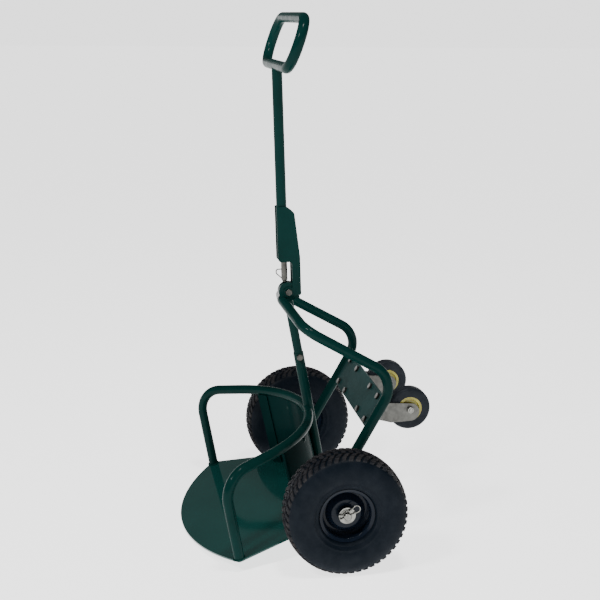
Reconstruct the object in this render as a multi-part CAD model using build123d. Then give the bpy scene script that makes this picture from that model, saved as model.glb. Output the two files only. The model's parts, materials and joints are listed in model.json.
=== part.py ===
from build123d import *
import os
from math import acos, asin, atan2, cos, degrees, hypot, pi, radians, sin, sqrt, tan

# Plant and pot trolley: a tilting two-wheel truck with a laid-back pair of casters.
# Lengths are millimetres. Most pieces are drawn in the truck's own frame, whose origin is the
# middle of the axle, with X along the axle, Y to the rear and Z up the mast, square to the
# toe plate. The whole truck then leans forward until the tip of the toe plate is on the floor.

# Driving dimensions: wheels and axle
WHEEL_R = 130.0
WHEEL_W = 86.0
TRACK = 600.0
AXLE_R = 8.0
AXLE_HALF = 335.0
AXLE_CLIP_X = 329.0
HUB_R = 17.0
HUB_HALF = 24.0
BUSH_R = 12.0
BUSH_LENGTH = 20.0
RIM_STEEL = 2.0
RIM_SEAT_R = 51.3
BEAD_BOTTOM_R = 52.6
BEAD_TOP = (24.2, 58.0)
BEAD_HEEL_X = 23.4
BEAD_TOE_X = 14.0
BEAD_INSIDE = (17.0, 60.0)
SIDEWALL_R = 92.0
SHOULDER = (33.3, 125.0)
TYRE_WALL = 8.0
CROWN_T = 10.0
RIM_SECTION = ((13.0, HUB_R), (14.0, 30.0), (1.3, 41.0), (1.3, 47.0), (5.0, RIM_SEAT_R), (24.0, RIM_SEAT_R),
               (27.0, 57.8))

# Driving dimensions: toe plate, hoop and cradle
PLATE_T = 4.0
PLATE_TOP = -54.0
PLATE_TIP_Y = -336.0
PLATE_CORNER = (285.0, -234.0)
PLATE_REAR = (190.0, 14.0)
PLATE_CORNER_R = 7.0
HOOP_TUBE_R = 11.0
TUBE_WALL = 1.8
HOOP_R = 277.0
HOOP_REAR_Y = -1.5
HOOP_REAR_Z = 126.0
HOOP_RISE = 0.041
HOOP_CORNER = (296.0, -226.0)
HOOP_FOOT = (272.0, -233.0)
HOOP_CORNER_R = 56.0
SHEET_R = 269.5
SHEET_T = 2.5
SHEET_HALF_ANGLE = 45.0
SHEET_TOP_DROP = 7.0
STRIP_ANGLE = 6.0
STRIP_T = 3.0
RIVET_ANGLE = 24.0
RIVET_Z = 99.0
RIVET_R = 3.0
RIVET_HEAD_R = 6.5

# Driving dimensions: rear frame and mast
FRAME_TUBE_R = 11.0
FRAME_X = 182.5
STRUT_ANGLE = 48.5
STRUT_LENGTH = 276.5
CROSSBAR_CORNER = (172.0, 14.0, 358.5)
CROSSBAR_MIDDLE = (-2.0, 387.0)
STRUT_BEND_R = 55.0
CROSSBAR_BEND_R = 48.0
CROSSBAR_MIDDLE_R = 60.0
MAST_LEAN = 1.7
MAST_LOWER_R = 11.3
MAST_UPPER_R = 10.0
MAST_WALL = 1.6
MAST_JOINT_Z = 261.0
MAST_OVERLAP = 60.0
MAST_BOLT_Z = 252.0
MAST_TOP_Z = 389.0

# Driving dimensions: caster plate and casters
CASTER_PLATE_AT = 187.5
CASTER_PLATE_LENGTH = 79.0
CASTER_PLATE_T = 4.0
CASTER_X = 104.0
CASTER_BOLT_PITCH = (72.0, 58.0)
CASTER_TOP = (94.0, 74.0, 3.0)
CASTER_DROP = 84.5
CASTER_TRAIL = 32.0
CASTER_WHEEL_R = 47.0
CASTER_WHEEL_HALF = 14.5
CASTER_CORE_R = 27.0
CASTER_TURN = 180.0
RACE_R = 25.0
RACE_H = 7.0
FORK_INSIDE = 16.5
FORK_T = 2.5
FORK_LEG_ROOT = (-25.0, 13.0)
FORK_LEG_BULGE = (-2.0, 56.0, 12.0)
FORK_LEG_TIP = (27.0, 88.0, 20.0)
KINGPIN_R = 5.0

# Driving dimensions: hinge, latch and handle
HINGE = (14.3, 404.4)
HANDLE_LEAN = 10.4
SADDLE_R = 21.0
SADDLE_REAR = 22.0
CHEEK_INSIDE = 11.25
CHEEK_T = 3.0
CHEEK_EAR_R = 11.5
SIDE_GAP = 0.3
BRACKET_TOP = 190.0
BRACKET_BOTTOM = 67.5
BRACKET_FRONT = -20.9
BRACKET_REAR = 28.0
BRACKET_KNEE = 77.0
BRACKET_SHOULDER = (18.0, 176.0)
BRACKET_CREST = 0.5
STRIP_FRONT = 9.0
STRIP_FOOT = -8.0
WEB_BOTTOM = 33.0
PLUNGER_V = -6.3
PLUNGER_R = 6.8
PLUNGER_NOSE_R = 5.0
PLUNGER_TIP_GAP = 0.4
PLUNGER_SHOULDER = 80.0
PLUNGER_ROD_R = 3.5
PLUNGER_ROD_TOP = 114.0
PULL_WIRE_R = 1.2
GUIDE_LOWER = 68.0
GUIDE_UPPER = 104.0
GUIDE_T = 3.0
GUIDE_FRONT = -14.5
GUIDE_REAR = 20.0
SPRING_R = 5.4
SPRING_WIRE_R = 0.7
SPRING_TURNS = 5
HANDLE_TUBE_R = 11.2
HANDLE_TUBE_WALL = 2.0
HANDLE_TUBE_V = -8.0
HANDLE_TUBE_FOOT = 134.0
GRIP_BOTTOM_W = 490.0
GRIP_HALF_WIDTH = 180.0
GRIP_HEIGHT = 104.0
GRIP_CORNER_R = 48.0
GRIP_LEAN = 20.8

# Fasteners: an 8 mm thread with its usual head, nut and washer
BOLT_R = 4.0
HEX_ACROSS = 13.0
HEAD_H = 5.3
NUT_H = 6.5
THREAD_OUT = 2.0
FIT = 0.08
RUNNING_FIT = 0.06

# The axle stands this far behind the middle of the footprint
AXLE_Y = 44.4

PLATE_BOTTOM = PLATE_TOP - PLATE_T
TIP_REACH = hypot(PLATE_TIP_Y, PLATE_BOTTOM)
LEAN = degrees(asin(WHEEL_R / TIP_REACH) - atan2(-PLATE_BOTTOM, -PLATE_TIP_Y))
HOOP_CENTRE_Y = HOOP_REAR_Y - HOOP_R
WHEEL_HALF = WHEEL_W / 2
HUB_OUT = TRACK / 2 + HUB_HALF
HUB_IN = TRACK / 2 - HUB_HALF
CHEEK_OUTSIDE = CHEEK_INSIDE + CHEEK_T
PLUNGER_TIP = SADDLE_R + PLUNGER_TIP_GAP
SLOPE = (cos(radians(STRUT_ANGLE)), sin(radians(STRUT_ANGLE)))
SIDES = {"left": -1, "right": 1}

# Frames
TRUCK = Pos(0, AXLE_Y, WHEEL_R) * Rot(LEAN, 0, 0)
HINGE_POINT = Pos(0, *HINGE)
HANDLE_TILT = Rot(-HANDLE_LEAN, 0, 0)
HANDLE = TRUCK * HINGE_POINT * HANDLE_TILT


# Shared shapes

def write(node, shape, place=TRUCK):
    """Put a shape, or a list of alike shapes, in its place and write its file."""
    pieces = shape if isinstance(shape, list) else [shape]
    placed = [place * piece for piece in pieces]
    whole = placed[0] if len(placed) == 1 else Compound(children=placed)
    export_step(whole, f"parts/{node}.step")


def bent_path(points, radii):
    """Straight runs through the points, joined by tangent arcs at the inner ones."""
    corners = [Vector(*point) for point in points]
    start = corners[0]
    edges = []
    for before, corner, after, radius in zip(corners, corners[1:], corners[2:], radii):
        back = (before - corner).normalized()
        onward = (after - corner).normalized()
        half = acos(back.dot(onward)) / 2
        first = corner + back * (radius / tan(half))
        last = corner + onward * (radius / tan(half))
        middle = corner + (back + onward).normalized() * (radius / sin(half) - radius)
        edges += [Edge.make_line(start, first), Edge.make_three_point_arc(first, middle, last)]
        start = last
    edges.append(Edge.make_line(start, corners[-1]))
    return Wire(edges)


def sweep_round(path, radius, bore=0.0):
    """A round bar along a path, or a pipe where a bore is given."""
    section = Circle(radius)
    if bore:
        section -= Circle(bore)
    start = Plane(origin=path @ 0, z_dir=path % 0)
    return sweep(start * section, path=path)


def bar(start, end, radius):
    """A round bar between two points."""
    first = Vector(*start)
    along = Vector(*end) - first
    return extrude(Plane(origin=first, z_dir=along) * Circle(radius), along.length)


def bar_x(x_from, x_to, radius, y=0.0, z=0.0):
    """A round bar along X."""
    return bar((x_from, y, z), (x_to, y, z), radius)


def ring_x(x_from, x_to, outer, inner):
    """A ring about the axle line."""
    return bar_x(x_from, x_to, outer) - bar_x(x_from, x_to, inner)


def slab(outline, x_from, x_to):
    """An outline drawn as (Y, Z), thickened from one X to another."""
    return Pos(x_from, 0, 0) * extrude(Plane.YZ * outline, x_to - x_from)


def polygon(*points):
    """A flat face with straight sides."""
    return make_face(Polyline(*points, close=True))


def largest(shape):
    """The main solid of a shape, leaving off-cuts behind."""
    return max(shape.solids(), key=lambda solid: solid.volume)


def mirrored(point):
    """The same point on the other side of the truck."""
    return (-point[0], point[1], point[2])


def hexagon(height, bore=0.0):
    """A hexagon head or nut standing on Z = 0, its top corners turned off."""
    flat_r = HEX_ACROSS / 2
    corner_r = flat_r / cos(pi / 6)
    prism = extrude(RegularPolygon(flat_r, 6, major_radius=False), height)
    turned_r = corner_r + 0.1
    blank = Pos(0, 0, height / 2) * Cylinder(turned_r, height)
    blank = chamfer(blank.edges().group_by(Axis.Z)[-1], length=height * 0.16, length2=turned_r - flat_r)
    shape = prism & blank
    if bore:
        shape -= Cylinder(bore, height * 3)
    return shape


def headed_bolt(length):
    """A bolt whose shank runs down from Z = 0 and whose head stands on it."""
    shank = Pos(0, 0, -length / 2) * Cylinder(BOLT_R, length)
    shank = chamfer(shank.edges().group_by(Axis.Z)[0], 0.7)
    return shank + hexagon(HEAD_H)


def nut():
    return hexagon(NUT_H, BOLT_R)


# Paths of the bent tubes

def hoop_z(y):
    """Height of the hoop's centre line, which rises gently towards its front corners."""
    return HOOP_REAR_Z + HOOP_RISE * (HOOP_REAR_Y - y)


def hoop_path():
    """Foot, front corner, round back, front corner, foot."""
    corner_x, corner_y = HOOP_CORNER
    across = corner_y - HOOP_CENTRE_Y
    away = hypot(corner_x, across)
    touch = atan2(across, corner_x) + acos(HOOP_R / away)
    apex_y = HOOP_CENTRE_Y + HOOP_R / sin(touch)
    foot = (*HOOP_FOOT, PLATE_TOP - HOOP_TUBE_R)
    corner = (corner_x, corner_y, hoop_z(corner_y))
    apex = (0, apex_y, hoop_z(apex_y))
    points = [foot, corner, apex, mirrored(corner), mirrored(foot)]
    return bent_path(points, [HOOP_CORNER_R, HOOP_R, HOOP_CORNER_R])


def rear_path():
    """One bent tube: strut, upper leg, crossbar, upper leg, strut."""
    below_plate = (PLATE_TOP - 2 * FRAME_TUBE_R) / SLOPE[1]
    foot = (FRAME_X, SLOPE[0] * below_plate, SLOPE[1] * below_plate)
    top = (FRAME_X, SLOPE[0] * STRUT_LENGTH, SLOPE[1] * STRUT_LENGTH)
    shoulder = CROSSBAR_CORNER
    middle = (0, *CROSSBAR_MIDDLE)
    points = [foot, top, shoulder, middle, mirrored(shoulder), mirrored(top), mirrored(foot)]
    radii = [STRUT_BEND_R, CROSSBAR_BEND_R, CROSSBAR_MIDDLE_R, CROSSBAR_BEND_R, STRUT_BEND_R]
    return bent_path(points, radii)


def mast_point(z):
    """A point on the mast's centre line, which leans back a little from square."""
    return (0, z * tan(radians(MAST_LEAN)), z)


def below_plate():
    """Everything under the toe plate's top face, to trim what stands on it."""
    depth = 200
    return Pos(0, 0, PLATE_TOP - depth / 2) * Box(1000, 1000, depth)


HOOP_BAR = sweep_round(hoop_path(), HOOP_TUBE_R)
REAR_BAR = sweep_round(rear_path(), FRAME_TUBE_R)
AXLE_CLEARANCE = bar_x(-AXLE_HALF, AXLE_HALF, AXLE_R + FIT)
MAST_BOLT_HOLE = bar_x(-50, 50, BOLT_R + FIT, *mast_point(MAST_BOLT_Z)[1:])


# Toe plate, hoop and cradle

def toe_plate():
    """A flat plate with a curved front edge and sides that draw in towards the axle."""
    corner_x, corner_y = PLATE_CORNER
    rear_x, rear_y = PLATE_REAR
    front = ThreePointArc((-corner_x, corner_y), (0, PLATE_TIP_Y), (corner_x, corner_y))
    rest = Polyline((corner_x, corner_y), (rear_x, rear_y), (-rear_x, rear_y), (-corner_x, corner_y))
    outline = make_face([front.edge(), *rest.edges()])
    outline = fillet(outline.vertices(), PLATE_CORNER_R)
    plate = extrude(Pos(0, 0, PLATE_BOTTOM) * outline, PLATE_T)
    return fillet(plate.edges().group_by(Axis.Z)[-1], 0.8)


def hoop_tube():
    """The hoop pipe, its feet cut to stand on the plate."""
    pipe = sweep_round(hoop_path(), HOOP_TUBE_R, HOOP_TUBE_R - TUBE_WALL)
    return largest(pipe - below_plate())


def cradle_wall(outer, thickness, from_angle, to_angle):
    """A stretch of upright wall between the toe plate and the underside of the hoop."""
    ring = Circle(outer) - Circle(outer - thickness)
    reach = outer * 2
    spokes = [from_angle, (from_angle + to_angle) / 2, to_angle]
    rim = [(reach * sin(radians(spoke)), reach * cos(radians(spoke))) for spoke in spokes]
    section = Pos(0, HOOP_CENTRE_Y) * (ring & polygon((0, 0), *rim))
    wall = extrude(Pos(0, 0, PLATE_TOP) * section, 2 * HOOP_REAR_Z)
    depth = 400
    tilt = Rot(-degrees(atan2(HOOP_RISE, 1)), 0, 0)
    above = Pos(0, 0, hoop_z(0) - SHEET_TOP_DROP) * tilt * Pos(0, 0, depth / 2) * Box(1000, 1000, depth)
    return largest(wall - above - HOOP_BAR)


def rivet_place(side):
    """Outer face of the sheet at a rivet, with Z pointing out of it."""
    turn = Rot(0, 0, -side * RIVET_ANGLE)
    return Pos(0, HOOP_CENTRE_Y, RIVET_Z) * turn * Pos(0, SHEET_R, 0) * Rot(-90, 0, 0)


def cradle_sheet():
    """The curved back that a pot rests against."""
    sheet = cradle_wall(SHEET_R, SHEET_T, -SHEET_HALF_ANGLE, SHEET_HALF_ANGLE)
    for side in SIDES.values():
        sheet -= rivet_place(side) * Cylinder(RIVET_R, 4 * SHEET_T)
    return sheet


def cradle_strip(side):
    """A flat upright strip that stiffens one end of the sheet."""
    angles = sorted([side * (SHEET_HALF_ANGLE - STRIP_ANGLE), side * SHEET_HALF_ANGLE])
    return cradle_wall(SHEET_R - SHEET_T, STRIP_T, *angles)


def cradle_rivets():
    """Domed rivets through the sheet, one to a side, flush on the inside."""
    dome_r = RIVET_HEAD_R * 1.25
    sunk = sqrt(dome_r ** 2 - RIVET_HEAD_R ** 2)
    dome = Pos(0, 0, -sunk) * Sphere(dome_r) & Pos(0, 0, dome_r) * Box(40, 40, 2 * dome_r)
    rivet = dome + Pos(0, 0, -SHEET_T / 2) * Cylinder(RIVET_R, SHEET_T)
    wall = cradle_wall(SHEET_R, SHEET_T, -SHEET_HALF_ANGLE, SHEET_HALF_ANGLE)
    for side in SIDES.values():
        wall -= rivet_place(side) * Cylinder(RIVET_R, 4 * SHEET_T)
    return [largest(rivet_place(side) * rivet - wall) for side in SIDES.values()]


# Rear frame and mast

def rear_frame():
    """The bent tube that carries the caster plate and the hinge, standing on the toe plate."""
    pipe = sweep_round(rear_path(), FRAME_TUBE_R, FRAME_TUBE_R - TUBE_WALL)
    return largest(pipe - below_plate() - AXLE_CLEARANCE)


def mast_tube(z_from, z_to, radius, bore):
    """A length of the mast."""
    outside = bar(mast_point(z_from), mast_point(z_to), radius)
    return outside - bar(mast_point(z_from - 1), mast_point(z_to + 1), bore)


def mast_foot():
    """The short post from the toe plate to the underside of the hoop, drilled for the axle."""
    post = mast_tube(PLATE_TOP - 5, HOOP_REAR_Z, MAST_LOWER_R, MAST_LOWER_R - MAST_WALL)
    wall = cradle_wall(SHEET_R, SHEET_T, -SHEET_HALF_ANGLE, SHEET_HALF_ANGLE)
    return largest(post - below_plate() - AXLE_CLEARANCE - wall - HOOP_BAR)


def mast_lower():
    """The outer mast tube from the top of the hoop to the bolted joint."""
    post = mast_tube(HOOP_REAR_Z, MAST_JOINT_Z, MAST_LOWER_R, MAST_UPPER_R + FIT)
    return largest(post - HOOP_BAR - MAST_BOLT_HOLE)


def mast_upper():
    """The inner mast tube, from inside the lower one to the crossbar and hinge saddle."""
    post = mast_tube(MAST_JOINT_Z - MAST_OVERLAP, MAST_TOP_Z, MAST_UPPER_R, MAST_UPPER_R - MAST_WALL)
    return largest(post - REAR_BAR - MAST_BOLT_HOLE)


def mast_bolt():
    """The bolt that pins the two mast tubes together, put in from the right."""
    place = Pos(MAST_LOWER_R, *mast_point(MAST_BOLT_Z)[1:]) * Rot(0, 90, 0)
    return place * headed_bolt(2 * MAST_LOWER_R + NUT_H + THREAD_OUT)


def mast_nut():
    return Pos(-MAST_LOWER_R, *mast_point(MAST_BOLT_Z)[1:]) * Rot(0, -90, 0) * nut()


# Axle line

def clip_path(shaft_r, wire_r):
    """A hairpin clip in the YZ plane: a leg through the shaft, a round eye, and a waved arm."""
    over = shaft_r + wire_r
    points = [(-2.1 * shaft_r, 0), (30, 0), (30, 18.2), (9, over - 0.3), (0, over + 1.6),
              (-9, over - 3), (-2 * shaft_r, over + 0.5)]
    return bent_path([(0, y, z) for y, z in points], [7, 7, 6, 9, 4])


def clip_place(side):
    """Where a clip crosses the axle, with its eye up and to the rear."""
    return Pos(side * AXLE_CLIP_X, 0, 0) * Rot(9, 0, 0)


def axle():
    """The solid axle, cross-drilled near each end for its clip."""
    shaft = bar_x(-AXLE_HALF, AXLE_HALF, AXLE_R)
    shaft = chamfer(shaft.edges().filter_by(GeomType.CIRCLE), 1.2)
    for side in SIDES.values():
        shaft -= clip_place(side) * Rot(90, 0, 0) * Cylinder(1.75, 60)
    return shaft


def axle_clips():
    wire_r = 1.4
    clip = sweep_round(clip_path(AXLE_R, wire_r), wire_r)
    return [clip_place(side) * clip for side in SIDES.values()]


def axle_washers():
    """A wide and a narrow washer outside each hub, and one inside it."""
    rings = []
    for side in SIDES.values():
        for start, end, outer in ((0.3, 1.6, 17.5), (1.7, 3.2, 14.0)):
            rings.append(ring_x(side * (HUB_OUT + start), side * (HUB_OUT + end), outer, AXLE_R + FIT))
        rings.append(ring_x(side * (HUB_IN - 1.9), side * (HUB_IN - 0.3), 14.0, AXLE_R + FIT))
    return rings


def axle_spacers():
    """A sleeve on each side, from the strut to the inner washer of the wheel."""
    start = FRAME_X + FRAME_TUBE_R + 0.1
    return [ring_x(side * start, side * (HUB_IN - 2), FRAME_TUBE_R, AXLE_R + FIT)
            for side in SIDES.values()]


# Main wheels, drawn about the axle line at X = 0 and then moved out to their place

def wheel_place(side):
    return Pos(side * TRACK / 2, 0, 0)


def horseshoe(outer_x, outer_shoulder, crown, bead):
    """Edges over the tyre from one bead to the other: sidewall, crown, sidewall."""
    shoulder_x, shoulder_r = outer_shoulder
    bead_x, bead_r = bead
    return [ThreePointArc((bead_x, bead_r), (outer_x, SIDEWALL_R), (shoulder_x, shoulder_r)),
            ThreePointArc((shoulder_x, shoulder_r), (0, crown), (-shoulder_x, shoulder_r)),
            ThreePointArc((-shoulder_x, shoulder_r), (-outer_x, SIDEWALL_R), (-bead_x, bead_r))]


def tyre():
    """A wide tyre: a horseshoe section that grips the rim, hollow inside."""
    outside = horseshoe(WHEEL_HALF, SHOULDER, WHEEL_R, BEAD_TOP)
    inner_shoulder = (SHOULDER[0] - 5, SHOULDER[1] - TYRE_WALL)
    inside = horseshoe(WHEEL_HALF - TYRE_WALL, inner_shoulder, WHEEL_R - CROWN_T, BEAD_INSIDE)
    beads = []
    for side in SIDES.values():
        foot = [BEAD_TOP, (BEAD_HEEL_X, BEAD_BOTTOM_R), (BEAD_TOE_X, BEAD_BOTTOM_R), BEAD_INSIDE]
        foot = [(side * x, r, 0) for x, r in foot]
        beads += [Edge.make_line(a, b) for a, b in zip(foot, foot[1:])]
    return revolve(make_face([curve.edge() for curve in outside + inside] + beads), Axis.X)


def rim_half(side):
    """A pressed rim half: hub flange, deep web, bead seat and turned-out lip."""
    path = FilletPolyline(*[(side * x, r) for x, r in RIM_SECTION], radius=1.6)
    half = revolve(trace(path, RIM_STEEL), Axis.X)
    return largest(half - bar_x(-HUB_HALF, HUB_HALF, HUB_R))


def hub():
    """The hub tube, bored for a bush at each end."""
    return ring_x(-HUB_HALF, HUB_HALF, HUB_R, BUSH_R)


def hub_bushes():
    """Two sleeve bushes in the hub, running on the axle."""
    inner_end = HUB_HALF - BUSH_LENGTH
    return [ring_x(side * inner_end, side * HUB_HALF, BUSH_R, AXLE_R + RUNNING_FIT)
            for side in SIDES.values()]


def write_wheel(name, side):
    place = TRUCK * wheel_place(side)
    write(f"tyre_{name}", tyre(), place)
    write(f"rim_outer_{name}", rim_half(side), place)
    write(f"rim_inner_{name}", rim_half(-side), place)
    write(f"hub_{name}", hub(), place)
    write(f"hub_bushes_{name}", hub_bushes(), place)


# Caster plate and casters. In the caster frame X is the truck's X, Y runs down the slope of the
# struts and Z points out of the plate's underside, with Z = 0 in the middle of the plate.

def caster_frame(x):
    origin = (x, SLOPE[0] * CASTER_PLATE_AT, SLOPE[1] * CASTER_PLATE_AT)
    plane = Plane(origin=origin, x_dir=(1, 0, 0), z_dir=(0, SLOPE[1], -SLOPE[0]))
    return plane.location


PLATE_HALF = CASTER_PLATE_T / 2
CASTER_TOP_UNDER = PLATE_HALF + CASTER_TOP[2]
CROWN_Z = CASTER_TOP_UNDER + RACE_H + SIDE_GAP


def caster_bolt_spots():
    """The four bolt places of one caster, about its swivel."""
    pitch_x, pitch_y = CASTER_BOLT_PITCH
    return [(x * pitch_x / 2, y * pitch_y / 2) for x in (-1, 1) for y in (-1, 1)]


def caster_plate():
    """The flat plate welded between the struts, drilled for both casters."""
    plate = Box(2 * FRAME_X, CASTER_PLATE_LENGTH, CASTER_PLATE_T)
    for side in SIDES.values():
        for x, y in caster_bolt_spots():
            plate -= Pos(side * CASTER_X + x, y, 0) * Cylinder(BOLT_R + FIT, 20)
    placed = caster_frame(0) * plate
    return largest(placed - REAR_BAR)


def caster_plate_bolts():
    """Eight bolts, heads on the upper face of the plate."""
    length = CASTER_PLATE_T + CASTER_TOP[2] + NUT_H + THREAD_OUT
    bolt = Pos(0, 0, -PLATE_HALF) * Rot(180, 0, 0) * headed_bolt(length)
    return [caster_frame(side * CASTER_X) * Pos(x, y, 0) * bolt
            for side in SIDES.values() for x, y in caster_bolt_spots()]


def caster_plate_nuts():
    """Their nuts, under the casters' top plates."""
    return [caster_frame(side * CASTER_X) * Pos(x, y, CASTER_TOP_UNDER) * nut()
            for side in SIDES.values() for x, y in caster_bolt_spots()]


def caster_top():
    """A caster's own mounting plate, drilled for its bolts and its kingpin."""
    width, length, thickness = CASTER_TOP
    outline = fillet(Rectangle(width, length).vertices(), 8)
    for x, y in caster_bolt_spots():
        outline -= Pos(x, y) * Circle(BOLT_R + FIT)
    outline -= Circle(KINGPIN_R)
    return extrude(Pos(0, 0, PLATE_HALF) * outline, thickness)


def caster_race():
    """The pressed ball-race cover between the mounting plate and the fork."""
    outline = polygon((KINGPIN_R, 0), (RACE_R + 4, 0), (RACE_R + 2, 3), (RACE_R - 1, RACE_H),
                      (KINGPIN_R, RACE_H))
    return Pos(0, 0, CASTER_TOP_UNDER) * revolve(Plane.XZ * outline, Axis.Z)


def caster_kingpin():
    """The rivet that the fork turns on, its head inside the fork."""
    head_z = CROWN_Z + FORK_T + SIDE_GAP
    shank = Pos(0, 0, (PLATE_HALF + head_z) / 2) * Cylinder(KINGPIN_R, head_z - PLATE_HALF)
    head = Pos(0, 0, head_z + 2) * Cylinder(9, 4)
    return shank + chamfer(head.edges().group_by(Axis.Z)[-1], 1.2)


def caster_fork():
    """A pressed fork: a round crown under the race and two broad legs to the wheel axle."""
    outside = FORK_INSIDE + FORK_T
    root_from, root_to = FORK_LEG_ROOT
    outline = [Edge.make_line((root_from, CROWN_Z, 0), (root_to, CROWN_Z, 0))]
    for y, z, radius in (FORK_LEG_BULGE, FORK_LEG_TIP):
        outline += (Pos(y, z) * Circle(radius)).edges()
    leg = make_hull(outline)
    fork = slab(leg, -outside, outside)
    fork = fillet(fork.edges().filter_by(Axis.Y).group_by(Axis.Z)[0], 3)
    depth = 200
    fork -= Pos(0, 0, CROWN_Z + FORK_T + depth / 2) * Box(2 * FORK_INSIDE, 400, depth)
    fork += Pos(0, 0, CROWN_Z + FORK_T / 2) * Cylinder(RACE_R + 1, FORK_T)
    fork -= Pos(0, 0, CROWN_Z) * Cylinder(KINGPIN_R + RUNNING_FIT, 20)
    fork -= bar_x(-50, 50, BOLT_R + FIT, CASTER_TRAIL, CASTER_DROP)
    return fork


def caster_axle_bolt():
    """The wheel's bolt, through both legs."""
    outside = FORK_INSIDE + FORK_T
    place = Pos(outside, CASTER_TRAIL, CASTER_DROP) * Rot(0, 90, 0)
    return place * headed_bolt(2 * outside + NUT_H + THREAD_OUT)


def caster_axle_nut():
    return Pos(-FORK_INSIDE - FORK_T, CASTER_TRAIL, CASTER_DROP) * Rot(0, -90, 0) * nut()


def caster_wheel_place():
    return Pos(0, CASTER_TRAIL, CASTER_DROP)


def caster_core():
    """The moulded wheel centre, with a boss that fills the fork and a shallow dish each side."""
    boss_half = FORK_INSIDE - 0.4
    half = CASTER_WHEEL_HALF
    bore = BOLT_R + RUNNING_FIT
    outline = [(boss_half, bore), (boss_half, 9), (half - 3, 10.5), (half - 3.5, 19.5), (half, 21.5),
               (half, CASTER_CORE_R)]
    outline += [(-x, r) for x, r in reversed(outline)]
    return revolve(polygon(*outline), Axis.X)


def caster_tyre():
    """The rubber tread round the wheel centre."""
    tread = bar_x(-CASTER_WHEEL_HALF, CASTER_WHEEL_HALF, CASTER_WHEEL_R)
    tread = fillet(tread.edges().filter_by(GeomType.CIRCLE), 6.5)
    return tread - bar_x(-30, 30, CASTER_CORE_R)


def write_caster(name, side):
    fixed = TRUCK * caster_frame(side * CASTER_X)
    swivelling = fixed * Rot(0, 0, CASTER_TURN)
    rolling = swivelling * caster_wheel_place()
    write(f"caster_top_{name}", caster_top(), fixed)
    write(f"caster_race_{name}", caster_race(), fixed)
    write(f"caster_kingpin_{name}", caster_kingpin(), fixed)
    write(f"caster_fork_{name}", caster_fork(), swivelling)
    write(f"caster_axle_bolt_{name}", caster_axle_bolt(), swivelling)
    write(f"caster_axle_nut_{name}", caster_axle_nut(), swivelling)
    write(f"caster_core_{name}", caster_core(), rolling)
    write(f"caster_tyre_{name}", caster_tyre(), rolling)


# Hinge. Drawn about the hinge line; the handle's frame leans back from the truck's.

def hinge_saddle():
    """The fixed hinge block: a round cam in front, a square shoulder behind, coped to the tubes."""
    shoulder = Pos(SADDLE_REAR / 2, -1) * Rectangle(SADDLE_REAR, 38)
    outline = Circle(SADDLE_R) + fillet(shoulder.vertices(), 4)
    half = CHEEK_INSIDE - SIDE_GAP
    block = slab(outline, -half, half) - bar_x(-50, 50, BOLT_R + FIT)
    lock_depth = 8
    block -= HANDLE_TILT * Pos(0, PLUNGER_V, SADDLE_R) * Cylinder(PLUNGER_NOSE_R + 0.3, 2 * lock_depth)
    mast = bar(mast_point(MAST_JOINT_Z), mast_point(MAST_TOP_Z), MAST_UPPER_R)
    return largest(HINGE_POINT * block - REAR_BAR - mast)


def hinge_bolt():
    """The hinge pin, put in from the right."""
    face = CHEEK_OUTSIDE + SIDE_GAP
    return HINGE_POINT * Pos(face, 0, 0) * Rot(0, 90, 0) * headed_bolt(2 * face + NUT_H + THREAD_OUT)


def hinge_nut():
    return HINGE_POINT * Pos(-CHEEK_OUTSIDE - SIDE_GAP, 0, 0) * Rot(0, -90, 0) * nut()


# Handle, drawn in its own frame: Y to the rear and Z up along the handle from the hinge

def bracket_outline():
    """A cheek seen from the side: a broad upper part, a rear strip and an ear round the hinge."""
    corners = [(BRACKET_FRONT, BRACKET_BOTTOM, 9),
               (BRACKET_FRONT, BRACKET_TOP, 2),
               (BRACKET_CREST, BRACKET_TOP, 6),
               (*BRACKET_SHOULDER, 12),
               (BRACKET_REAR, BRACKET_KNEE, 20),
               (BRACKET_REAR, STRIP_FOOT, 4),
               (STRIP_FRONT, STRIP_FOOT, 3),
               (STRIP_FRONT, BRACKET_BOTTOM, 4)]
    outline = polygon(*[(y, z) for y, z, _ in corners])
    for y, z, radius in corners:
        corner = outline.vertices().sort_by_distance((y, z, 0))[0]
        outline = fillet(corner, radius)
    return outline + Circle(CHEEK_EAR_R) + Pos(STRIP_FRONT / 2 + 1, 3.5) * Rectangle(STRIP_FRONT, 11)


def latch_bracket():
    """A pressed channel: two cheeks joined by a web down the back, open below for the latch."""
    bracket = slab(bracket_outline(), -CHEEK_OUTSIDE, CHEEK_OUTSIDE)
    web_face = BRACKET_REAR - CHEEK_T
    far = 300
    hollow = polygon((-far, WEB_BOTTOM), (web_face, WEB_BOTTOM), (web_face, BRACKET_KNEE),
                     (BRACKET_SHOULDER[0] - CHEEK_T, BRACKET_SHOULDER[1]), (BRACKET_CREST, BRACKET_TOP),
                     (BRACKET_CREST, far), (-far, far))
    below = Pos(0, WEB_BOTTOM - far / 2) * Rectangle(far, far)
    bracket -= slab(hollow + below, -CHEEK_INSIDE, CHEEK_INSIDE)
    return bracket - bar_x(-50, 50, BOLT_R + RUNNING_FIT)


def latch_guides():
    """Two plates across the channel that guide the plunger and hold its spring."""
    guides = []
    for height, bore in ((GUIDE_LOWER, PLUNGER_R), (GUIDE_UPPER, PLUNGER_ROD_R)):
        middle = Pos(0, (GUIDE_FRONT + GUIDE_REAR) / 2, height + GUIDE_T / 2)
        plate = middle * Box(2 * CHEEK_INSIDE, GUIDE_REAR - GUIDE_FRONT, GUIDE_T)
        guides.append(plate - Pos(0, PLUNGER_V, height) * Cylinder(bore + RUNNING_FIT, 20))
    return guides


def pull_path():
    """The wire loop that the plunger is lifted by, its ends set into the plunger's front."""
    inside, outside = PLUNGER_V - 4, PLUNGER_V - PLUNGER_R - 11
    points = [(inside, 50), (outside, 50), (outside, 41), (inside, 28)]
    return bent_path([(0, y, z) for y, z in points], [4, 6])


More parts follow.
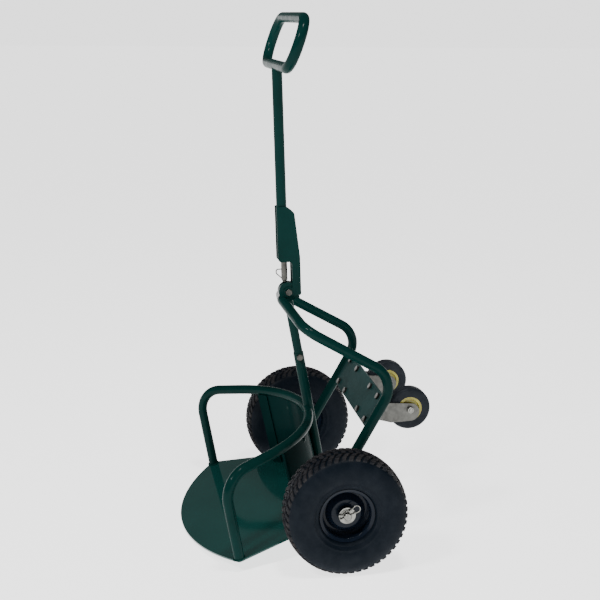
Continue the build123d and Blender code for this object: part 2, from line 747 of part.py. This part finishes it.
def plunger():
    """The sprung lock pin: nose, body, shoulder for the spring, and guide rod."""
    outline = polygon((0, PLUNGER_TIP), (PLUNGER_NOSE_R - 1, PLUNGER_TIP), (PLUNGER_NOSE_R, PLUNGER_TIP + 1),
                      (PLUNGER_NOSE_R, PLUNGER_TIP + 3), (PLUNGER_R, PLUNGER_TIP + 5),
                      (PLUNGER_R, PLUNGER_SHOULDER), (PLUNGER_ROD_R, PLUNGER_SHOULDER),
                      (PLUNGER_ROD_R, PLUNGER_ROD_TOP), (0, PLUNGER_ROD_TOP))
    pin = Pos(0, PLUNGER_V, 0) * revolve(Plane.XZ * outline, Axis.Z)
    return pin - sweep_round(pull_path(), PULL_WIRE_R)


def plunger_spring():
    """A coil spring between the plunger's shoulder and the upper guide."""
    low = PLUNGER_SHOULDER + SPRING_WIRE_R
    height = GUIDE_UPPER - SPRING_WIRE_R - low
    path = Helix(height / SPRING_TURNS, height, SPRING_R)
    start = Plane(origin=path @ 0, z_dir=path % 0)
    coil = sweep(start * Circle(SPRING_WIRE_R), path=path, is_frenet=True)
    return Pos(0, PLUNGER_V, low) * coil


def grip_path():
    """The closed loop of the grip: a wide, flat rounded rectangle, leaning back."""
    loop = RectangleRounded(2 * GRIP_HALF_WIDTH, GRIP_HEIGHT, GRIP_CORNER_R)
    upright = Plane(origin=(0, 0, 0), x_dir=(1, 0, 0), z_dir=(0, -1, 0))
    place = Pos(0, HANDLE_TUBE_V, GRIP_BOTTOM_W) * Rot(-GRIP_LEAN, 0, 0) * Pos(0, 0, GRIP_HEIGHT / 2)
    return (place * upright.location * loop).face().outer_wire()


def grip(bore=0.0):
    return sweep_round(grip_path(), HANDLE_TUBE_R, bore)


def handle_tube():
    """The straight tube from the bracket to the grip, coped to the grip's lower bar."""
    low, high = (0, HANDLE_TUBE_V, HANDLE_TUBE_FOOT), (0, HANDLE_TUBE_V, GRIP_BOTTOM_W)
    tube = bar(low, high, HANDLE_TUBE_R) - bar(low, high, HANDLE_TUBE_R - HANDLE_TUBE_WALL)
    return largest(tube - grip())


def main():
    os.makedirs("parts", exist_ok=True)
    write("toe_plate", toe_plate())
    write("hoop_tube", hoop_tube())
    write("cradle_sheet", cradle_sheet())
    for name, side in SIDES.items():
        write(f"cradle_strip_{name}", cradle_strip(side))
    write("cradle_rivets", cradle_rivets())
    write("rear_frame", rear_frame())
    write("mast_foot", mast_foot())
    write("mast_lower", mast_lower())
    write("mast_upper", mast_upper())
    write("mast_bolt", mast_bolt())
    write("mast_nut", mast_nut())
    write("caster_plate", caster_plate())
    write("caster_plate_bolts", caster_plate_bolts())
    write("caster_plate_nuts", caster_plate_nuts())
    write("axle", axle())
    write("axle_clips", axle_clips())
    write("axle_washers", axle_washers())
    write("axle_spacers", axle_spacers())
    write("hinge_saddle", hinge_saddle())
    write("hinge_bolt", hinge_bolt())
    write("hinge_nut", hinge_nut())
    for name, side in SIDES.items():
        write_wheel(name, side)
        write_caster(name, side)
    write("latch_bracket", latch_bracket(), HANDLE)
    write("latch_guides", latch_guides(), HANDLE)
    write("handle_tube", handle_tube(), HANDLE)
    write("grip_loop", grip(HANDLE_TUBE_R - HANDLE_TUBE_WALL), HANDLE)
    write("plunger", plunger(), HANDLE)
    write("plunger_pull", sweep_round(pull_path(), PULL_WIRE_R), HANDLE)
    write("plunger_spring", plunger_spring(), HANDLE)


main()
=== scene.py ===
import json
import math
import random

import bmesh
import bpy
from mathutils import Matrix, Vector


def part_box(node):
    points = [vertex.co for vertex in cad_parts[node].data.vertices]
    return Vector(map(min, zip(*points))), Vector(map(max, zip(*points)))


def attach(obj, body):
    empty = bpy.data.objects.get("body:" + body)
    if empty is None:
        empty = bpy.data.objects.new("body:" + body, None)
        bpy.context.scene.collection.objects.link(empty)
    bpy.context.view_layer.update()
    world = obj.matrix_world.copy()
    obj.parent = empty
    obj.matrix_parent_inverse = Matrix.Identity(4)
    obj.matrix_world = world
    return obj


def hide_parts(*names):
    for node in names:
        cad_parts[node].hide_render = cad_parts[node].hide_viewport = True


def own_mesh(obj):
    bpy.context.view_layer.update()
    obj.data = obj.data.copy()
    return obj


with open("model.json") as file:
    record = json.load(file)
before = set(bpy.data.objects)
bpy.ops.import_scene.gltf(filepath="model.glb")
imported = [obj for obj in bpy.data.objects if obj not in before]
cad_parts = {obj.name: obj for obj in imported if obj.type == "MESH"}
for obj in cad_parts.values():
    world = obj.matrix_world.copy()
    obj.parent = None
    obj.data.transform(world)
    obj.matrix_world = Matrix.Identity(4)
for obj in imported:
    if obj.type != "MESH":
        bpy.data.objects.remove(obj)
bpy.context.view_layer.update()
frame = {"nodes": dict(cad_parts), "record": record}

RANDOM = random.Random(7)

# Sizes in metres, repeated from the solid model. The truck's own frame has its origin on the axle
# and leans with the mast.
WHEEL_R = 0.130
AXLE_Y = 0.0444
LEAN = math.radians(12.618)
TRUCK_TO_FRAME = Matrix.Translation((0, AXLE_Y, WHEEL_R)) @ Matrix.Rotation(LEAN, 4, "X")
PLATE_TOP = -0.054
STRUT_SLOPE = math.radians(48.5)
MAST_LEAN = math.radians(1.7)
HOOP_FOOT = (0.2725, -0.2331)
STRUT_X = 0.1825
CASTER_PLATE_EDGE_X = 0.1713
CASTER_PLATE_MIDDLE = 0.1875
CASTER_PLATE_HALF_LENGTH = 0.036
CASTER_PLATE_HALF_T = 0.0026


def truck(x, y, z):
    """A point of the truck's own frame, which leans with the mast, in the shared frame."""
    return TRUCK_TO_FRAME @ Vector((x, y, z))


# Materials

# Reflection of the painted tubes, and of the duller sheet and caster plate
PAINT_SPECULAR = 0.012
SHEET_SPECULAR = 0.0015


class Nodes:
    """A material under construction: a Principled shader and short ways to feed it."""

    def __init__(self, name, color, roughness, metallic=0.0, specular=0.5):
        self.material = bpy.data.materials.new(name)
        self.material.use_nodes = True
        self.tree = self.material.node_tree
        self.shader = self.tree.nodes["Principled BSDF"]
        self.shader.inputs["Base Color"].default_value = (*color, 1)
        self.shader.inputs["Roughness"].default_value = roughness
        self.shader.inputs["Metallic"].default_value = metallic
        self.shader.inputs["Specular IOR Level"].default_value = specular
        self.place = self.add("ShaderNodeTexCoord").outputs["Object"]
        self.normal = None

    def add(self, kind, **settings):
        node = self.tree.nodes.new(kind)
        for key, value in settings.items():
            setattr(node, key, value)
        return node

    def noise(self, scale, detail=3.0, stretch=None, roughness=0.55):
        """Object-space noise, drawn out along an axis where a stretch is given."""
        node = self.add("ShaderNodeTexNoise")
        node.inputs["Scale"].default_value = scale
        node.inputs["Detail"].default_value = detail
        node.inputs["Roughness"].default_value = roughness
        source = self.place
        if stretch:
            mapping = self.add("ShaderNodeMapping")
            mapping.inputs["Scale"].default_value = stretch
            self.tree.links.new(source, mapping.inputs["Vector"])
            source = mapping.outputs["Vector"]
        self.tree.links.new(source, node.inputs["Vector"])
        return node.outputs["Fac"]

    def ramp(self, factor, stops):
        """A factor turned into colours or greys by a ramp of (position, colour) stops."""
        node = self.add("ShaderNodeValToRGB")
        bar = node.color_ramp
        while len(bar.elements) < len(stops):
            bar.elements.new(0.5)
        for element, (position, color) in zip(bar.elements, stops):
            element.position = position
            element.color = (*color, 1) if isinstance(color, tuple) else (color, color, color, 1)
        self.tree.links.new(factor, node.inputs["Fac"])
        return node.outputs["Color"]

    def mix(self, factor, low, high):
        """Blend of two colours or sockets by a factor."""
        node = self.add("ShaderNodeMix", data_type="RGBA")
        for socket, value in ((0, factor), (6, low), (7, high)):
            if isinstance(value, tuple):
                node.inputs[socket].default_value = (*value, 1)
            else:
                self.tree.links.new(value, node.inputs[socket])
        return node.outputs[2]

    def color(self, socket):
        self.tree.links.new(socket, self.shader.inputs["Base Color"])

    def roughness(self, factor, low, high):
        node = self.add("ShaderNodeMapRange")
        node.inputs["From Min"].default_value = 0.3
        node.inputs["From Max"].default_value = 0.7
        node.inputs["To Min"].default_value = low
        node.inputs["To Max"].default_value = high
        self.tree.links.new(factor, node.inputs["Value"])
        self.tree.links.new(node.outputs["Result"], self.shader.inputs["Roughness"])

    def bump(self, height, strength, distance):
        node = self.add("ShaderNodeBump")
        node.inputs["Strength"].default_value = strength
        node.inputs["Distance"].default_value = distance
        self.tree.links.new(height, node.inputs["Height"])
        if self.normal:
            self.tree.links.new(self.normal, node.inputs["Normal"])
        self.normal = node.outputs["Normal"]
        self.tree.links.new(self.normal, self.shader.inputs["Normal"])


def green_paint(name, deep, light, specular=PAINT_SPECULAR, coat=0.06, rough=(0.2, 0.34)):
    """Glossy powder coat: slight colour drift, orange peel, a few dull handling marks."""
    m = Nodes(name, deep, 0.3, specular=specular)
    m.color(m.mix(m.ramp(m.noise(7, 4), [(0.35, 0.0), (0.7, 1.0)]), deep, light))
    m.roughness(m.noise(22, 6), *rough)
    m.shader.inputs["Coat Weight"].default_value = coat
    m.shader.inputs["Coat Roughness"].default_value = 0.06
    m.bump(m.noise(220, 1), 0.012, 0.0003)
    return m.material


def black_paint():
    m = Nodes("rim_black_paint", (0.004, 0.006, 0.010), 0.3, specular=0.05)
    m.color(m.mix(m.noise(14, 4), (0.002, 0.0045, 0.009), (0.005, 0.0085, 0.016)))
    m.roughness(m.noise(30, 5), 0.2, 0.34)
    m.shader.inputs["Coat Weight"].default_value = 0.14
    m.shader.inputs["Coat Roughness"].default_value = 0.1
    m.bump(m.noise(300, 2), 0.06, 0.0003)
    return m.material


def zinc(name, dark, light, rough):
    """Plated steel: mottled brightness and fine drawn marks."""
    m = Nodes(name, light, rough, metallic=1.0)
    m.color(m.mix(m.ramp(m.noise(60, 5), [(0.3, 0.0), (0.75, 1.0)]), dark, light))
    m.roughness(m.noise(140, 4), rough - 0.07, rough + 0.1)
    m.bump(m.noise(900, 2, stretch=(1, 1, 0.12)), 0.12, 0.0002)
    return m.material


def rubber(name, deep, dusty, rough, grain=420):
    """Rubber with a fine grain and a thin, uneven film of dust."""
    m = Nodes(name, deep, rough, specular=0.07)
    dust = m.ramp(m.noise(35, 6, roughness=0.65), [(0.42, 0.0), (0.72, 1.0)])
    m.color(m.mix(dust, deep, dusty))
    m.roughness(m.noise(50, 4), rough - 0.08, rough + 0.12)
    m.bump(m.noise(grain, 3), 0.25, 0.0004)
    return m.material


def moulding(name, deep, light, rough):
    """Moulded plastic with faint flow marks and a soft sheen."""
    m = Nodes(name, light, rough)
    m.color(m.mix(m.ramp(m.noise(28, 3), [(0.35, 0.0), (0.7, 1.0)]), deep, light))
    m.roughness(m.noise(90, 3), rough - 0.06, rough + 0.08)
    m.shader.inputs["Subsurface Weight"].default_value = 0.08
    m.shader.inputs["Subsurface Scale"].default_value = 0.004
    m.bump(m.noise(300, 2), 0.12, 0.0003)
    return m.material


def weld_metal():
    """Weld bead under the paint: the same green, rippled and a little rougher."""
    m = Nodes("weld_green", (0.002, 0.023, 0.02), 0.38, specular=PAINT_SPECULAR)
    m.color(m.mix(m.noise(160, 3), (0.0015, 0.019, 0.016), (0.004, 0.033, 0.028)))
    m.roughness(m.noise(200, 3), 0.3, 0.5)
    m.bump(m.noise(700, 3), 0.4, 0.0005)
    return m.material


GREEN = green_paint("green_paint", (0.0009, 0.0165, 0.0145), (0.002, 0.024, 0.021))
# The toe plate takes a lighter copy of the same green paint. The sky's reflection on the plate is
# painted into its colour, on top of its real gloss.
PLATE_GREEN_PAINTED_SHEEN = green_paint("green_paint_plate_painted_sheen", (0.003, 0.040, 0.035), (0.005, 0.048, 0.042),
                          specular=0.4, coat=0, rough=(0.06, 0.1))
# The cradle sheet and strips take a darker copy of the same green paint. The shade under the hoop
# is painted into their colour.
SHEET_GREEN_PAINTED_SHADE = green_paint("green_paint_sheet_painted_shade", (0.001, 0.012, 0.0115), (0.002, 0.017, 0.016),
                          specular=SHEET_SPECULAR, coat=0.01)
# The caster plate takes a lighter, greyer copy of the same green paint. The light it catches is
# painted into its colour.
CASTER_PLATE_GREEN_PAINTED_LIGHT = green_paint("green_paint_caster_plate_painted_light", (0.012, 0.037, 0.036),
                                 (0.018, 0.046, 0.045), specular=SHEET_SPECULAR, coat=0.02)
BLACK = black_paint()
BRIGHT = zinc("bright_zinc", (0.13, 0.13, 0.12), (0.29, 0.29, 0.27), 0.26)
SATIN = zinc("satin_zinc", (0.075, 0.075, 0.07), (0.13, 0.13, 0.12), 0.42)
DULL = zinc("dull_zinc", (0.05, 0.05, 0.046), (0.10, 0.098, 0.09), 0.34)
TYRE = rubber("tyre_rubber", (0.0022, 0.0048, 0.0085), (0.006, 0.009, 0.0135), 0.5)
TREAD = rubber("tread_rubber", (0.010, 0.011, 0.014), (0.036, 0.033, 0.033), 0.7, grain=260)
CASTER_RUBBER = rubber("caster_rubber", (0.010, 0.013, 0.017), (0.022, 0.026, 0.032), 0.45)
YELLOW = moulding("caster_core_yellow", (0.21, 0.18, 0.012), (0.37, 0.33, 0.036), 0.34)
BUSH = moulding("bush_grey", (0.05, 0.05, 0.055), (0.09, 0.09, 0.095), 0.4)
WELD = weld_metal()

BY_NODE = {
    # Toe plate: the lighter green, with a painted reflection in its colour.
    "toe_plate": PLATE_GREEN_PAINTED_SHEEN,
    "plunger": DULL,
    "plunger_pull": DULL,
    "hinge_bolt": DULL,
    "mast_bolt": DULL,
    "caster_plate_bolts": DULL,
    # Cradle sheet: the darker green, with painted shade.
    "cradle_sheet": SHEET_GREEN_PAINTED_SHADE,
    # Caster plate: the lighter, greyer green, with painted light.
    "caster_plate": CASTER_PLATE_GREEN_PAINTED_LIGHT,
    "hub_bushes_left": BUSH,
    "hub_bushes_right": BUSH,
}
for side in ("left", "right"):
    # The cradle strips also take the darker green with painted shade.
    BY_NODE[f"cradle_strip_{side}"] = SHEET_GREEN_PAINTED_SHADE
    BY_NODE[f"caster_core_{side}"] = YELLOW
    BY_NODE[f"caster_tyre_{side}"] = CASTER_RUBBER
    for part in ("fork", "top", "race", "kingpin"):
        BY_NODE[f"caster_{part}_{side}"] = SATIN
BY_SLOT = {
    "green_paint": GREEN,
    "rim_black": BLACK,
    "zinc": BRIGHT,
    "tyre_rubber": TYRE,
    "caster_rubber": CASTER_RUBBER,
    "caster_core": YELLOW,
    "bush_grey": BUSH,
}


def finish_cad_nodes():
    """Give every solid carried over from the CAD its detailed material."""
    slots = {entry["node"]: entry["material_slot"] for entry in frame["record"]["subparts"]}
    for name, obj in frame["nodes"].items():
        material = BY_NODE.get(name) or BY_SLOT[slots[name]]
        obj.data.materials.clear()
        obj.data.materials.append(material)


# Mesh helpers

def new_object(name, mesh, body, materials):
    obj = bpy.data.objects.new(name, mesh)
    bpy.context.scene.collection.objects.link(obj)
    for material in materials:
        mesh.materials.append(material)
    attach(obj, body)
    return obj


def mesh_from(name, vertices, faces, smooth=True):
    mesh = bpy.data.meshes.new(name)
    mesh.from_pydata([tuple(v) for v in vertices], [], faces)
    mesh.update()
    if smooth:
        mesh.polygons.foreach_set("use_smooth", [True] * len(mesh.polygons))
    return mesh


def closed_tube(points, radii, around=12):
    """Vertices and faces of a closed loop of round section through the points."""
    count = len(points)
    vertices = []
    for i, (point, radius) in enumerate(zip(points, radii)):
        ahead = (points[(i + 1) % count] - points[i - 1]).normalized()
        side = ahead.cross(Vector((0.13, 0.22, 0.97))).normalized()
        up = side.cross(ahead)
        for k in range(around):
            angle = 2 * math.pi * k / around
            vertices.append(point + radius * (math.cos(angle) * side + math.sin(angle) * up))
    faces = []
    for i in range(count):
        for k in range(around):
            a, b = i * around + k, i * around + (k + 1) % around
            c, d = ((i + 1) % count) * around + (k + 1) % around, ((i + 1) % count) * around + k
            faces.append((a, b, c, d))
    return vertices, faces


# Tyres: a smooth carcass with raised rings on the sidewalls and rows of tread blocks

# Half the carcass section as (distance from the wheel's middle, radius), crown to bead, with a
# step for each ring on the sidewall
CARCASS = [
    (0.0, 0.1258), (0.012, 0.1256), (0.022, 0.1247), (0.030, 0.1232), (0.0345, 0.1208),
    (0.0372, 0.1165), (0.0398, 0.1100), (0.0418, 0.1020), (0.0428, 0.0930), (0.0424, 0.0850),
    (0.0408, 0.0772), (0.0388, 0.0722), (0.0392, 0.0712), (0.0378, 0.0700), (0.0352, 0.0655),
    (0.0336, 0.0632), (0.0342, 0.0621), (0.0326, 0.0610), (0.0296, 0.0595), (0.0268, 0.0586),
    (0.0244, 0.0580), (0.0236, 0.0560), (0.0234, 0.0527), (0.0160, 0.0527),
]
# Half the tread: each row as (inner edge, outer edge, slant in steps, start in steps)
TREAD_ROWS = [
    (-0.0055, 0.0055, 0.0, 0.0),
    (0.0085, 0.0190, 0.45, 0.5),
    (0.0215, 0.0345, 0.35, 0.1),
]
# Number of steps round the tyre, and the share of a step that a block fills
LUG_COUNT = 52
LUG_FILL = 0.66
# How far a block's root lies under the crown, how much its top shrinks, and how its edges round
LUG_DEPTH = 0.0030
LUG_TAPER = 0.10
LUG_EDGE_R = 0.0006
# The outer row ends beyond this distance from the middle, and reaches down the shoulder to this
# radius
SHOULDER_X = 0.03
SHOULDER_ROOT_R = 0.1195
# The crown's radius at its middle, and its drop at the distance where the tread ends
CROWN_R = 0.1298
CROWN_DROP = 0.0046
CROWN_HALF_WIDTH = 0.0333


def crown_radius(x):
    """Outer surface of the tread at a distance from the wheel's middle."""
    return CROWN_R - CROWN_DROP * (x / CROWN_HALF_WIDTH) ** 2


def on_tyre(centre, x, radius, angle):
    """A point at a distance from the wheel's middle, a radius and an angle round the axle."""
    return centre + Vector((x, radius * math.cos(angle), radius * math.sin(angle)))


def carcass_mesh(centre, around=180):
    """Vertices and faces of the carcass section turned round the axle."""
    section = [(-x, r) for x, r in reversed(CARCASS[1:])] + CARCASS
    rows = len(section)
    vertices, faces = [], []
    for i in range(around):
        angle = 2 * math.pi * i / around
        vertices += [on_tyre(centre, x, r, angle) for x, r in section]
    for i in range(around):
        following = (i + 1) % around
        for k in range(rows):
            beyond = (k + 1) % rows
            faces.append((i * rows + k, i * rows + beyond,
                          following * rows + beyond, following * rows + k))
    return vertices, faces


def add_block(vertices, faces, centre, inner, outer, slant, start):
    """One tread block: a low, tapered prism that follows the crown."""
    step = 2 * math.pi / LUG_COUNT
    a = len(vertices)
    middle = (inner + outer) / 2
    for depth, shrink in ((LUG_DEPTH, 0.0), (0.0, LUG_TAPER)):
        for x, lean in ((inner, 0.0), (outer, slant)):
            place = x + (middle - x) * shrink
            for edge in (0.0, LUG_FILL):
                across = LUG_FILL / 2 + (edge - LUG_FILL / 2) * (1 - shrink)
                if abs(outer) > SHOULDER_X and x == outer and depth > 0:
                    radius = SHOULDER_ROOT_R
                else:
                    radius = crown_radius(x) - depth
                vertices.append(on_tyre(centre, place, radius, (start + lean + across) * step))
    faces += [(a + 4, a + 5, a + 7, a + 6), (a, a + 1, a + 5, a + 4), (a + 2, a + 6, a + 7, a + 3),
              (a, a + 4, a + 6, a + 2), (a + 1, a + 3, a + 7, a + 5), (a, a + 2, a + 3, a + 1)]


def build_tyre(side):
    """The carcass, which stands for the solid tyre, and its tread blocks in staggered rows."""
    low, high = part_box(f"tyre_{side}")
    centre = (low + high) / 2
    vertices, faces = carcass_mesh(centre)
    carcass = mesh_from(f"tyre_carcass_{side}", vertices, faces)
    shell = new_object(f"tyre_carcass_{side}", carcass, f"wheel_{side}", [TYRE])
    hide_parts(f"tyre_{side}")

    vertices, faces = [], []
    for turn in range(LUG_COUNT):
        for inner, outer, slant, start in TREAD_ROWS:
            add_block(vertices, faces, centre, inner, outer, slant, turn + start)
            if inner > 0:
                add_block(vertices, faces, centre, -inner, -outer, slant, turn + start + 0.5)
    mesh = mesh_from(f"tyre_tread_{side}", vertices, faces, smooth=False)
    tidy = bmesh.new()
    tidy.from_mesh(mesh)
    bmesh.ops.recalc_face_normals(tidy, faces=tidy.faces)
    tidy.to_mesh(mesh)
    tidy.free()
    blocks = new_object(f"tyre_tread_{side}", mesh, f"wheel_{side}", [TREAD])
    bevel = blocks.modifiers.new("edges", "BEVEL")
    bevel.width = LUG_EDGE_R
    bevel.segments = 2


# Plunger spring

def build_spring():
    """The plunger's coil, copied from the solid model's spring and carried with the handle."""
    mesh = frame["nodes"]["plunger_spring"].data.copy()
    mesh.materials.clear()
    coil = new_object("plunger_coil", mesh, "handle", [BRIGHT])
    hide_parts("plunger_spring")
    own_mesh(coil)


# Weld beads where tubes and the caster plate meet

WELD_R = 0.0022
SLIM_WELD_R = 0.0017
# Half-width of a long bead's loop, as a share of its radius
BEAD_FLATNESS = 0.35
# A bead's middle stands this far above the face it runs on
WELD_RISE = 0.0008
# Ripples of a bead: height as a share of its radius, turn from point to point, and scatter
RIPPLE = 0.18
RIPPLE_TURN = 1.9
RIPPLE_SCATTER = 0.05
# Half-axes of the loops round the tubes' feet
HOOP_FOOT_LOOP = (0.0122, 0.0116)
STRUT_FOOT_LOOP = (0.0117, 0.0154)
MAST_FOOT_LOOP = (0.0120, 0.0120)


def weld_loop(name, points, size):
    """A rippled bead along a closed loop of points."""
    radii = [size * (0.9 + RIPPLE * math.sin(i * RIPPLE_TURN)
                     + RANDOM.uniform(-RIPPLE_SCATTER, RIPPLE_SCATTER))
             for i in range(len(points))]
    vertices, faces = closed_tube(points, radii, 8)
    new_object(name, mesh_from(name, vertices, faces), "frame", [WELD])


def ellipse(centre, across, along, count=56):
    """Points round a centre, from two half-axis vectors."""
    angles = [2 * math.pi * i / count for i in range(count)]
    return [centre + math.cos(angle) * across + math.sin(angle) * along for angle in angles]


def long_bead(name, start, end, size):
    """A slim closed bead that lies along a straight joint."""
    half = (end - start) / 2
    half_width = Vector((BEAD_FLATNESS * size, 0, 0))
    weld_loop(name, ellipse((start + end) / 2, half, half_width, 90), size)


def turned(vector):
    """A direction in the truck's own frame, in the shared frame."""
    return (TRUCK_TO_FRAME.to_3x3() @ Vector(vector)).normalized()


def foot_weld(name, x, y, half_axes):
    """A bead round a tube that stands on the toe plate."""
    across, along = half_axes
    foot = truck(x, y, PLATE_TOP + WELD_RISE)
    points = ellipse(foot, Vector((1, 0, 0)) * across, turned((0, 1, 0)) * along)
    weld_loop(name, points, WELD_R)


def build_welds():
    """Beads round the five feet on the toe plate and along the edges of the caster plate."""
    for name, sign in (("left", -1), ("right", 1)):
        foot_weld(f"weld_hoop_foot_{name}", sign * HOOP_FOOT[0], HOOP_FOOT[1], HOOP_FOOT_LOOP)
        foot_weld(f"weld_strut_foot_{name}", sign * STRUT_X, PLATE_TOP / math.tan(STRUT_SLOPE),
                  STRUT_FOOT_LOOP)
    foot_weld("weld_mast_foot", 0, PLATE_TOP * math.tan(MAST_LEAN), MAST_FOOT_LOOP)
    slope = Vector((0, math.cos(STRUT_SLOPE), math.sin(STRUT_SLOPE)))
    out = Vector((0, math.sin(STRUT_SLOPE), -math.cos(STRUT_SLOPE)))
    for name, sign in (("left", -1), ("right", 1)):
        for face, offset in (("front", -CASTER_PLATE_HALF_T), ("rear", CASTER_PLATE_HALF_T)):
            ends = [slope * (CASTER_PLATE_MIDDLE + reach) + out * offset
                    for reach in (-CASTER_PLATE_HALF_LENGTH, CASTER_PLATE_HALF_LENGTH)]
            start, end = [truck(sign * CASTER_PLATE_EDGE_X, p.y, p.z) for p in ends]
            long_bead(f"weld_caster_plate_{face}_{name}", start, end, SLIM_WELD_R)


# Floor, light and camera

# The floor glows a little so that it stays pale, and lies a hair under the wheels
FLOOR_HALF = 40.0
FLOOR_Z = -0.0004
FLOOR_GLOW = 2.0
# Brightness of the surroundings at the horizon, where they meet the floor, and overhead, and the
# heights, as the sine of the angle above the horizon, between which it fades
HORIZON_GLOW = 2.05
SKY_GLOW = 0.16
FADE_START = 0.03
FADE_END = 0.12
# The lights point here
LIT_POINT = (0, 0, 0.45)
# The camera turns round the truck by azimuth and elevation and tips with it about the axle. Its
# place is given from the axle.
CAMERA_AZIMUTH = math.radians(80.46)
CAMERA_ELEVATION = math.radians(13.47)
CAMERA_TIP = math.radians(0.545)
CAMERA_FROM_AXLE = (2.5547, -0.4723, 0.997)
CAMERA_LENS = 72.1


def build_floor():
    """A wide white floor."""
    turns = ((-1, -1), (1, -1), (1, 1), (-1, 1))
    corners = [(x * FLOOR_HALF, y * FLOOR_HALF, 0) for x, y in turns]
    mesh = mesh_from("floor", corners, [(0, 1, 2, 3)])
    floor = bpy.data.objects.new("floor", mesh)
    bpy.context.scene.collection.objects.link(floor)
    floor.location.z = FLOOR_Z
    paint = Nodes("floor_white", (0.8, 0.8, 0.8), 0.8, specular=0.1)
    paint.roughness(paint.noise(3, 2), 0.75, 0.9)
    paint.shader.inputs["Emission Color"].default_value = (1, 1, 1, 1)
    paint.shader.inputs["Emission Strength"].default_value = FLOOR_GLOW
    mesh.materials.append(paint.material)


def area_light(name, place, size, power):
    """A square light panel, turned to the truck's middle."""
    data = bpy.data.lights.new(name, "AREA")
    data.shape = "SQUARE"
    data.size = size
    data.energy = power
    light = bpy.data.objects.new(name, data)
    bpy.context.scene.collection.objects.link(light)
    light.location = place
    towards = Vector(LIT_POINT) - Vector(place)
    light.rotation_euler = towards.to_track_quat("-Z", "Y").to_euler()


def build_light():
    """Two panels, and surroundings that are bright at the horizon and dim overhead."""
    world = bpy.data.worlds.new("studio")
    bpy.context.scene.world = world
    world.use_nodes = True
    tree = world.node_tree
    background = tree.nodes["Background"]
    background.inputs["Color"].default_value = (1, 1, 1, 1)
    direction = tree.nodes.new("ShaderNodeTexCoord").outputs["Generated"]
    split = tree.nodes.new("ShaderNodeSeparateXYZ")
    fade = tree.nodes.new("ShaderNodeMapRange")
    fade.inputs["From Min"].default_value = FADE_START
    fade.inputs["From Max"].default_value = FADE_END
    fade.inputs["To Min"].default_value = HORIZON_GLOW
    fade.inputs["To Max"].default_value = SKY_GLOW
    tree.links.new(direction, split.inputs[0])
    tree.links.new(split.outputs["Z"], fade.inputs["Value"])
    tree.links.new(fade.outputs["Result"], background.inputs["Strength"])
    area_light("key", (1.5, -2.0, 2.8), 0.55, 62)
    area_light("top", (0.9, 0.1, 3.2), 0.5, 52)


def build_camera():
    """Nearly side-on, slightly above, through a long lens."""
    level = math.cos(CAMERA_ELEVATION)
    back = Vector((math.sin(CAMERA_AZIMUTH) * level, -math.cos(CAMERA_AZIMUTH) * level,
                   math.sin(CAMERA_ELEVATION)))
    right = Vector((0, 0, 1)).cross(back).normalized()
    basis = Matrix((right, back.cross(right), back)).transposed()
    tip = Matrix.Rotation(CAMERA_TIP, 3, "X")
    data = bpy.data.cameras.new("camera")
    data.lens = CAMERA_LENS
    data.sensor_width = 36
    data.clip_end = 60
    camera = bpy.data.objects.new("camera", data)
    bpy.context.scene.collection.objects.link(camera)
    spot = Vector((0, AXLE_Y, WHEEL_R)) + tip @ Vector(CAMERA_FROM_AXLE)
    camera.matrix_world = Matrix.Translation(spot) @ (tip @ basis).to_4x4()
    bpy.context.scene.camera = camera


finish_cad_nodes()
for side in ("left", "right"):
    build_tyre(side)
build_spring()
build_welds()
build_floor()
build_light()
build_camera()
